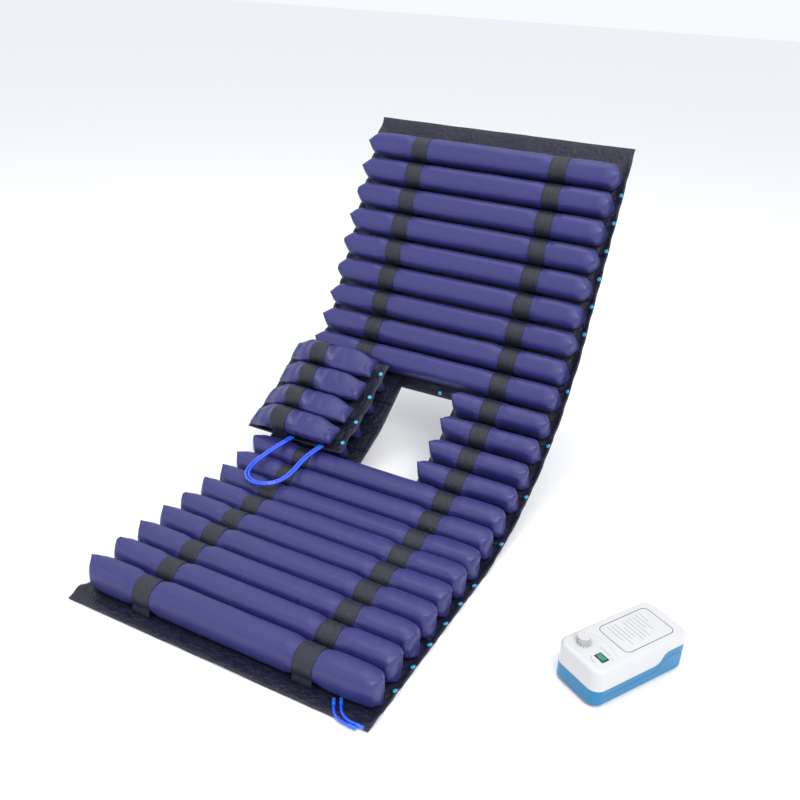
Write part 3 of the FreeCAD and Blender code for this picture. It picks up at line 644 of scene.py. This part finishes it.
def sheetPiece(name, low, high):
    halfWidth = layout["sheetWidth"] / 2
    across = lines(-halfWidth, halfWidth, sheetFacts["step"],
                   (-sheetFacts["openingHalf"], sheetFacts["openingHalf"]))
    along = lines(low, high, sheetFacts["step"], (openingStart, openingEnd))
    points, index, area = [], {}, 0.0
    for i, s in enumerate(along):
        for j, x in enumerate(across):
            inset = smooth(abs(x), 0.408, 0.430) * (0.009 - 0.004 * betweenRows(s))
            index[i, j] = len(points)
            points.append(onSheet(x - math.copysign(inset, x), s, sheetHeight(x, s)))
    faces = []
    for i in range(len(along) - 1):
        for j in range(len(across) - 1):
            x, s = (across[j] + across[j + 1]) / 2, (along[i] + along[i + 1]) / 2
            if abs(x) < sheetFacts["openingHalf"] and openingStart < s < openingEnd:
                continue
            faces.append([index[i, j], index[i, j + 1], index[i + 1, j + 1], index[i + 1, j]])
            area += (across[j + 1] - across[j]) * (along[i + 1] - along[i])
    made = meshPiece(name, points, faces, "sheet_cloth")
    bpy.ops.object.select_all(action="DESELECT")
    made.select_set(True)
    bpy.context.view_layer.objects.active = made
    bpy.ops.object.mode_set(mode="EDIT")
    bpy.ops.mesh.delete_loose()
    bpy.ops.object.mode_set(mode="OBJECT")
    thick = made.modifiers.new("Solidify", "SOLIDIFY")
    thick.thickness = layout["sheetThickness"]
    thick.offset = 1
    applyModifiers(made)
    return made, area


middles = [0.0] + [starts[n] + sections[n]["length"] / 2 for n in sectionNames] + [total]
for k in range(7):
    low, high = middles[k], middles[k + 1]
    near = sectionNames[max(0, k - 1)]
    far = sectionNames[min(5, k)]
    made, area = sheetPiece("sheet_%s_to_%s" % (near if k else "foot", far if k < 6 else "head"),
                            low, high)
    nodesOf = {"base_sheet_legs" if n == "leg" else "base_sheet_" + n for n in (near, far)}
    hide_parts(*sorted(nodesOf))
    if near == far:
        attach(made, sections[near]["body"])
    else:
        bend = starts[far]
        onSheet(0, bend - 0.02, 0)
        onSheet(0, bend + 0.02, 0)
        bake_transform(made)
    high - low
    "air_cell_row_%02d" % list(sections[far]["rows"])[0]
print("base sheet laid")


# the plug's sheet: a flat part under its cells and a crumpled band along its right edge
plugSheet = {"left": -0.154, "right": 0.178, "bandFrom": 0.150, "start": 0.012, "end": 0.012}


def plugHeight(x, s):
    band = smooth(x, plugSheet["bandFrom"], 0.170)
    crumple = noise.noise(Vector((x * 30, s * 26, 1.3))) + 0.5 * noise.noise(
        Vector((x * 75, s * 60, 4.1)))
    rim = 1 - smooth(x, plugSheet["left"] + 0.002, plugSheet["left"] + 0.020)
    return max(0, band * (0.0035 + 0.0045 * crumple) + rim * 0.0015 * (1 + crumple))


low, high = starts["seat_front"] + plugSheet["start"], starts["lumbar"] - plugSheet["end"]
across = lines(plugSheet["left"], plugSheet["right"], 0.005, ())
along = lines(low, high, 0.005, ())
points = []
for s in along:
    for x in across:
        edge = 0.004 * smooth(x, 0.160, plugSheet["right"]) * noise.noise(Vector((s * 22, 5, 2)))
        points.append(plugShift @ onSheet(x + edge, s, plugHeight(x, s)))
wide = len(across)
faces = [[i * wide + j, i * wide + j + 1, (i + 1) * wide + j + 1, (i + 1) * wide + j]
         for i in range(len(along) - 1) for j in range(wide - 1)]
made = meshPiece("plug_sheet_cloth", points, faces, "sheet_cloth")
thick = made.modifiers.new("Solidify", "SOLIDIFY")
thick.thickness = layout["sheetThickness"]
thick.offset = 1
applyModifiers(made)
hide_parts("plug_sheet")
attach(made, "plug")
high - low
print("plug sheet laid")


# ---- loops over the cells: one ribbon along each side of each section
strapFacts = {"clearance": 0.0005, "thickness": 0.0008, "across": 14}


def ribbon(name, matrix, centreX, offsets, seed):
    chance = random.Random(seed)
    path = []
    radius = cellShape["cinch"] + strapFacts["clearance"]
    base, axis = layout["sheetThickness"] + 0.0006, layout["axisHeight"]
    for offset in offsets:
        arch = [(offset - radius - 0.0006, base)]
        for i in range(29):
            angle = math.radians(205 - 230 * i / 28)
            arch.append((offset + radius * math.cos(angle), axis + radius * math.sin(angle)))
        arch.append((offset + radius + 0.0006, base))
        path += arch
    smoothPath = []
    for (y0, z0), (y1, z1) in zip(path, path[1:]):
        count = max(1, math.ceil(math.hypot(y1 - y0, z1 - z0) / 0.007))
        smoothPath += [(y0 + (y1 - y0) * i / count, z0 + (z1 - z0) * i / count)
                       for i in range(count)]
    smoothPath.append(path[-1])
    count = strapFacts["across"]
    points, faces, length = [], [], 0.0
    drift = [chance.uniform(-0.0025, 0.0025) for _ in range(len(offsets) + 1)]
    for i, (y, z) in enumerate(smoothPath):
        if i:
            length += math.hypot(y - smoothPath[i - 1][0], z - smoothPath[i - 1][1])
        place = (y - offsets[0]) / layout["rowPitch"] + 0.5
        whole = min(len(drift) - 2, max(0, int(place)))
        slide = drift[whole] + (drift[whole + 1] - drift[whole]) * smooth(place - whole, 0, 1)
        nearest = min(offsets, key=lambda o: abs(o - y))
        outY, outZ = y - nearest, z - axis
        size = math.hypot(outY, outZ)
        top = smooth(z, 0.05, 0.078)
        for j in range(count + 1):
            x = centreX + slide + layout["strapWidth"] * (j / count - 0.5)
            ripple = noise.noise(Vector((x * 70, y * 25 + seed, z * 25))) * 0.0007 * top
            ripple = max(0, ripple + 0.0003 * top)
            points.append(matrix @ Vector((x, y + outY / size * ripple, z + outZ / size * ripple)))
    for i in range(len(smoothPath) - 1):
        for j in range(count):
            a = i * (count + 1) + j
            faces.append([a, a + count + 1, a + count + 2, a + 1])
    made = meshPiece(name, points, faces, "strap_webbing")
    thick = made.modifiers.new("Solidify", "SOLIDIFY")
    thick.thickness = strapFacts["thickness"]
    thick.offset = -1
    applyModifiers(made)
    return made, length


for index, (sectionName, section) in enumerate(sections.items()):
    node = "straps_legs" if sectionName == "leg" else "straps_" + sectionName
    for side, word in ((-1, "left"), (1, "right")):
        made, length = ribbon("strap_%s_%s" % (sectionName, word), section["matrix"],
                              side * strapX, section["offsets"], index * 2 + side + 20)
        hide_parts(node)
        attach(made, section["body"])
        "air_cell_row_%02d" % list(section["rows"])[0]
for part in ("seat_front", "seat_rear"):
    section = sections[part]
    made, length = ribbon("plug_strap_" + part[5:], plugShift @ section["matrix"], plugStrapX,
                          section["offsets"], 51 if part == "seat_front" else 52)
    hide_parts("plug_straps")
    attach(made, "plug")
print("loops sewn over the cells")

# ---- press studs: one is modelled and copied
studFacts = {"radius": 0.006, "height": 0.0030, "x": 0.418}


def mode(name):
    bpy.ops.object.mode_set(mode=name)


def facesWhere(made, chosen):
    # in edit mode, selects just the faces whose middle and normal fit
    bpy.ops.mesh.select_all(action="DESELECT")
    mode("OBJECT")
    for face in made.data.polygons:
        face.select = chosen(face.center, face.normal)
    mode("EDIT")
    bpy.ops.mesh.select_mode(type="FACE")


def started(addPrimitive, name, **settings):
    bpy.ops.object.select_all(action="DESELECT")
    addPrimitive(**settings)
    made = bpy.context.object
    made.name = name
    return made


def settle(made, matrix):
    # puts a finished piece in place and leaves its object at the origin
    made.matrix_world = matrix @ made.matrix_world
    bpy.ops.object.select_all(action="DESELECT")
    made.select_set(True)
    bpy.context.view_layer.objects.active = made
    bpy.ops.object.transform_apply(location=True, rotation=True, scale=True)
    return made


def joined(pieces, name):
    bpy.ops.object.select_all(action="DESELECT")
    for piece in pieces:
        piece.select_set(True)
    bpy.context.view_layer.objects.active = pieces[0]
    bpy.ops.object.join()
    pieces[0].name = name
    return pieces[0]


def softened(made, degrees=40):
    bpy.ops.object.select_all(action="DESELECT")
    made.select_set(True)
    bpy.context.view_layer.objects.active = made
    bpy.ops.object.shade_smooth_by_angle(angle=math.radians(degrees))


stud = started(bpy.ops.mesh.primitive_cylinder_add, "stud", vertices=28,
               radius=studFacts["radius"], depth=studFacts["height"],
               location=(0, 0, studFacts["height"] / 2))
mode("EDIT")
facesWhere(stud, lambda at, way: way.z > 0.9)
bpy.ops.mesh.inset(thickness=0.0012)
bpy.ops.transform.translate(value=(0, 0, 0.0006))
bpy.ops.mesh.inset(thickness=0.0016)
bpy.ops.transform.translate(value=(0, 0, -0.0009))
bpy.ops.mesh.inset(thickness=0.0009)
bpy.ops.transform.translate(value=(0, 0, 0.0005))
mode("OBJECT")
softened(stud, 50)


def studs(name, matrices, body, node=None):
    copies = []
    for matrix in matrices:
        copy = stud.copy()
        copy.data = stud.data.copy()
        bpy.context.scene.collection.objects.link(copy)
        copies.append(settle(copy, matrix))
    made = joined(copies, name)
    finish(made, "snap_plastic")
    if node:
        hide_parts(node)
    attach(made, body)


def studMatrix(x, s):
    # on the sheet's own slope
    at = onSheet(x, s, sheetHeight(x, s) + layout["sheetThickness"])
    along = onSheet(x, s + 0.004, sheetHeight(x, s + 0.004)) - onSheet(
        x, s - 0.004, sheetHeight(x, s - 0.004))
    across = onSheet(x + 0.004, s, sheetHeight(x + 0.004, s)) - onSheet(
        x - 0.004, s, sheetHeight(x - 0.004, s))
    normal = across.cross(along).normalized()
    along.normalize()
    return Matrix.Translation(at) @ Matrix(
        (along.cross(normal), along, normal)).transposed().to_4x4()


for name, section in sections.items():
    marks = [starts[name] + o + layout["rowPitch"] / 2 for o in section["offsets"][:-1]]
    places = [studMatrix(studFacts["x"], s) for s in marks]
    if name == "seat_rear":
        places.append(studMatrix(0.035, openingEnd + 0.012))
    cadNode = {"leg": "snaps_legs", "back": "snaps_back"}.get(name)
    studs("studs_" + name, places, section["body"], cadNode)
plugMarks = [starts[n] + o for n in ("seat_front", "seat_rear") for o in sections[n]["offsets"]]
studs("plug_studs", [plugShift @ Matrix.Translation(
    onSheet(0.166, s, plugHeight(0.166, s) + layout["sheetThickness"])) @ sections[
        "seat_front" if s < starts["seat_rear"] else "seat_rear"]["matrix"].to_3x3().to_4x4()
    for s in plugMarks], "plug", "plug_snaps")
bpy.data.objects.remove(stud)
print("press studs set")

# ---- pump: controls, printed plate and moulded lines, made at the pump's own origin
pump = {"matrix": Matrix.Translation((0.818, 0.131, 0)) @ Matrix.Rotation(math.radians(60), 4, "Z"),
        "half": (0.140, 0.0675), "top": 0.101, "knob": (-0.096, 0.029), "rocker": (-0.096, -0.029),
        "knobRadius": 0.015, "knobHeight": 0.016, "knobGap": 0.0012, "ribs": 60,
        "stemRadius": 0.003, "stemLength": 0.022, "inkHeight": 0.0001, "inkThick": 0.0003}


def onPump(made, slotName, body="leg_section", node=None, degrees=40):
    settle(made, pump["matrix"])
    softened(made, degrees)
    finish(made, slotName)
    if node:
        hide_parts(node)
    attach(made, body)
    return made


# ribbed knob with a dished top and its stem
knobX, knobY = pump["knob"]
knobBase = pump["top"] + pump["knobGap"]
knob = started(bpy.ops.mesh.primitive_cylinder_add, "flow_knob", vertices=2 * pump["ribs"],
               radius=pump["knobRadius"], depth=pump["knobHeight"],
               location=(knobX, knobY, knobBase + pump["knobHeight"] / 2))
mode("EDIT")
facesWhere(knob, lambda at, way: way.z > 0.9)
bpy.ops.mesh.inset(thickness=0.0016)
bpy.ops.transform.translate(value=(0, 0, 0.0009))
bpy.ops.mesh.inset(thickness=0.0030)
bpy.ops.transform.translate(value=(0, 0, -0.0004))
ribAngle = math.pi / pump["ribs"]
facesWhere(knob, lambda at, way: abs(way.z) < 0.1 and round(
    math.atan2(way.y, way.x) / ribAngle - 0.5) % 2 == 0)
bpy.ops.mesh.inset(thickness=0.00012, depth=-0.0005, use_individual=True)
mode("OBJECT")
stem = started(bpy.ops.mesh.primitive_cylinder_add, "flow_stem", vertices=32,
               radius=pump["stemRadius"], depth=pump["stemLength"],
               location=(knobX, knobY, knobBase - pump["stemLength"] / 2))
mode("EDIT")
facesWhere(stem, lambda at, way: way.z < -0.9)
bpy.ops.mesh.inset(thickness=0.0005)
bpy.ops.transform.translate(value=(0, 0, -0.0004))
mode("OBJECT")
onPump(joined([knob, stem], "flow_knob"), "knob_white", "flow_knob", "pump_flow_knob", 30)
dot = started(bpy.ops.mesh.primitive_cylinder_add, "flow_knob_dot", vertices=20, radius=0.0009,
              depth=0.0004, location=(knobX + 0.0065, knobY + 0.0075,
                                      knobBase + pump["knobHeight"] + 0.0006))
mode("EDIT")
facesWhere(dot, lambda at, way: way.z > 0.9)
bpy.ops.mesh.inset(thickness=0.0002)
mode("OBJECT")
onPump(dot, "print_black", "flow_knob")


def bar(name, x, y, z, long, wide, thick, turn=0.0, side=0.0001):
    made = started(bpy.ops.mesh.primitive_cube_add, name, size=1, location=(0, 0, 0))
    made.scale = (long, wide, thick)
    bpy.ops.object.transform_apply(location=False, rotation=False, scale=True)
    mode("EDIT")
    bpy.ops.mesh.select_all(action="SELECT")
    bpy.ops.mesh.bevel(offset=side, segments=1)
    mode("OBJECT")
    return settle(made, Matrix.Translation((x, y, z)) @ Matrix.Rotation(turn, 4, "Z"))


# scale of dashes round the knob, which thickens towards full flow
dashes = []
for i in range(15):
    turn = math.radians(-190 + 20 * i)
    reach = pump["knobRadius"] + 0.0034
    dashes.append(bar("dash", knobX + reach * math.cos(turn), knobY + reach * math.sin(turn),
                      pump["top"] + pump["inkHeight"], 0.0030, 0.0006 + 0.00011 * i,
                      pump["inkThick"], turn))
onPump(joined(dashes, "flow_scale"), "print_black")

# label plate: a thin black rounded outline, with plain ruled lines in place of text
plate = {"centre": (0.036, 0), "size": (0.150, 0.096), "corner": 0.015, "line": 0.0013}
outline = started(bpy.ops.mesh.primitive_plane_add, "label_outline", size=1,
                  location=(*plate["centre"], pump["top"] + 0.00005))
outline.scale = (*plate["size"], 1)
bpy.ops.object.transform_apply(location=False, rotation=False, scale=True)
mode("EDIT")
bpy.ops.mesh.select_all(action="SELECT")
bpy.ops.mesh.bevel(offset=plate["corner"], segments=10, affect="VERTICES")
bpy.ops.mesh.inset(thickness=plate["line"])
bpy.ops.mesh.delete(type="FACE")
bpy.ops.mesh.select_all(action="SELECT")
bpy.ops.mesh.extrude_region_move(TRANSFORM_OT_translate={"value": (0, 0, 0.0003)})
bpy.ops.mesh.select_all(action="SELECT")
bpy.ops.mesh.normals_make_consistent(inside=False)
mode("OBJECT")
onPump(outline, "print_black")
ruled = []
for i, (start, long) in enumerate(((0.10, 0.55), (0.12, 0.72), (0.10, 0.60), (0.30, 0.35),
                                   (0.10, 0.74), (0.12, 0.66), (0.10, 0.70), (0.14, 0.42),
                                   (0.10, 0.58), (0.12, 0.30))):
    depth = plate["size"][1]
    ruled.append(bar("rule", plate["centre"][0] - 0.052 + 0.0108 * i,
                     depth / 2 - depth * (start + long / 2), pump["top"] + pump["inkHeight"],
                     0.0008, depth * long, pump["inkThick"]))
for x, y, long in ((-0.075, -0.018, 0.034), (-0.118, -0.026, 0.016), (-0.079, -0.042, 0.008),
                   (-0.113, -0.014, 0.007)):
    ruled.append(bar("rule", x, y, pump["top"] + pump["inkHeight"], 0.0009, long,
                     pump["inkThick"]))
onPump(joined(ruled, "label_rules"), "print_grey")

# rocker: a green paddle with a dip in the middle, in place of the plain wedge
rockerX, rockerY = pump["rocker"]
rocker = started(bpy.ops.mesh.primitive_cube_add, "rocker_paddle", size=1, location=(0, 0, 0))
rocker.scale = (0.0128, 0.0205, 0.0140)
bpy.ops.object.transform_apply(location=False, rotation=False, scale=True)
mode("EDIT")
bpy.ops.mesh.select_all(action="SELECT")
bpy.ops.mesh.bisect(plane_co=(0, 0, 0), plane_no=(0, 1, 0))
bpy.ops.mesh.select_mode(type="VERT")
bpy.ops.mesh.select_all(action="DESELECT")
mode("OBJECT")
for corner in rocker.data.vertices:
    corner.select = abs(corner.co.y) < 0.001 and corner.co.z > 0
mode("EDIT")
bpy.ops.transform.translate(value=(0, 0, -0.0016))
bpy.ops.mesh.select_all(action="SELECT")
bpy.ops.mesh.bevel(offset=0.0006, segments=3)
mode("OBJECT")
settle(rocker, Matrix.Translation((rockerX, rockerY, pump["top"] + 0.0030 - 0.0070)))
pin = started(bpy.ops.mesh.primitive_cylinder_add, "rocker_pin", vertices=24, radius=0.0015,
              depth=0.0142, location=(rockerX, rockerY, pump["top"] - 0.0007),
              rotation=(0, math.pi / 2, 0))
bpy.ops.object.transform_apply(location=True, rotation=True, scale=True)
onPump(joined([rocker, pin], "rocker_paddle"), "rocker_green", "rocker_switch",
       "pump_rocker_switch", 40)

# raised arc between the controls and the plate
arc = started(bpy.ops.mesh.primitive_plane_add, "panel_arc", size=1, location=(0, 0, 0),
              rotation=(math.pi / 2, 0, 0))
arc.scale = (0.0016, 0.0008, 1)
bpy.ops.object.transform_apply(location=True, rotation=True, scale=True)
arcRadius, arcHalf = 0.094, math.radians(36)
mode("EDIT")
bpy.ops.mesh.select_all(action="SELECT")
arcCentre = (-0.148, 0, 0)
bpy.ops.transform.translate(value=(arcCentre[0] + arcRadius, 0, pump["top"]))
bpy.ops.transform.rotate(value=-arcHalf, orient_axis="Z", center_override=arcCentre)
bpy.ops.mesh.spin(steps=40, angle=2 * arcHalf, center=arcCentre, axis=(0, 0, 1))
bpy.ops.mesh.select_all(action="SELECT")
bpy.ops.mesh.remove_doubles(threshold=0.00001)
bpy.ops.mesh.normals_make_consistent(inside=False)
mode("OBJECT")
onPump(arc, "pump_white")

# moulded line along both long sides of the base, which follows the seam above it
lineShape = {"drop": 0.017, "low": 0.047, "high": 0.074, "from": 0.036, "to": 0.078,
             "ends": (-0.112, 0.112)}


def lineHeight(x):
    rise = smooth(x, lineShape["from"], lineShape["to"])
    return lineShape["low"] + (lineShape["high"] - lineShape["low"]) * rise - lineShape["drop"]


marks = [lineShape["ends"][0] + (lineShape["ends"][1] - lineShape["ends"][0]) * i / 48
         for i in range(49)]
for side in (-1, 1):
    line = started(bpy.ops.mesh.primitive_plane_add, "base_line", size=1, location=(0, 0, 0),
                   rotation=(0, math.pi / 2, 0))
    line.scale = (0.0012, 0.0010, 1)
    bpy.ops.object.transform_apply(location=True, rotation=True, scale=True)
    mode("EDIT")
    bpy.ops.mesh.select_all(action="SELECT")

    bpy.ops.transform.translate(value=(marks[0], side * pump["half"][1], lineHeight(marks[0])))
    for before, after in zip(marks, marks[1:]):
        bpy.ops.mesh.extrude_region_move(TRANSFORM_OT_translate={
            "value": (after - before, 0, lineHeight(after) - lineHeight(before))})
    bpy.ops.mesh.select_all(action="SELECT")
    bpy.ops.mesh.normals_make_consistent(inside=False)
    mode("OBJECT")
    onPump(line, "pump_blue").name = "base_line_" + ("front" if side < 0 else "back")
print("pump detailed")

# ---- everything still shown from the CAD gets its finish
for subpart in frame["record"]["subparts"]:
    node = nodes[subpart["node"]]
    node.data.materials.clear()
    node.data.materials.append(materials[subpart["material_slot"]])

# ---- floor and studio light
bpy.ops.object.select_all(action="DESELECT")
bpy.ops.mesh.primitive_plane_add(size=40, location=(0, 0, -0.0005))
floor = bpy.context.object
floor.name = "floor"
floorFinish = Finish("floor_paper", Roughness=0.6)
floorFinish.shader.inputs["Base Color"].default_value = (0.90, 0.90, 0.91, 1)
floor.data.materials.append(floorFinish.material)
floor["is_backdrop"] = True

world = bpy.data.worlds.new("studio")
bpy.context.scene.world = world
world.use_nodes = True
world.node_tree.nodes["Background"].inputs["Color"].default_value = (0.95, 0.96, 1, 1)
world.node_tree.nodes["Background"].inputs["Strength"].default_value = 1.0
lights = {
    "key": {"at": (2.6, -1.6, 3.4), "size": 2.2, "energy": 115},
    "fill": {"at": (-2.8, -2.4, 2.4), "size": 3.0, "energy": 20},
    "top": {"at": (-0.2, 0.9, 4.2), "size": 2.6, "energy": 45},
}
for name, light in lights.items():
    lamp = bpy.data.lights.new(name, "AREA")
    lamp.energy, lamp.size = light["energy"], light["size"]
    lampObject = bpy.data.objects.new(name, lamp)
    bpy.context.scene.collection.objects.link(lampObject)
    lampObject.location = light["at"]
    aim = Vector((0.1, 0.3, 0.2)) - lampObject.location
    lampObject.rotation_euler = aim.to_track_quat("-Z", "Y").to_euler()
print("floor and lights set")

bpy.context.view_layer.update()
low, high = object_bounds()
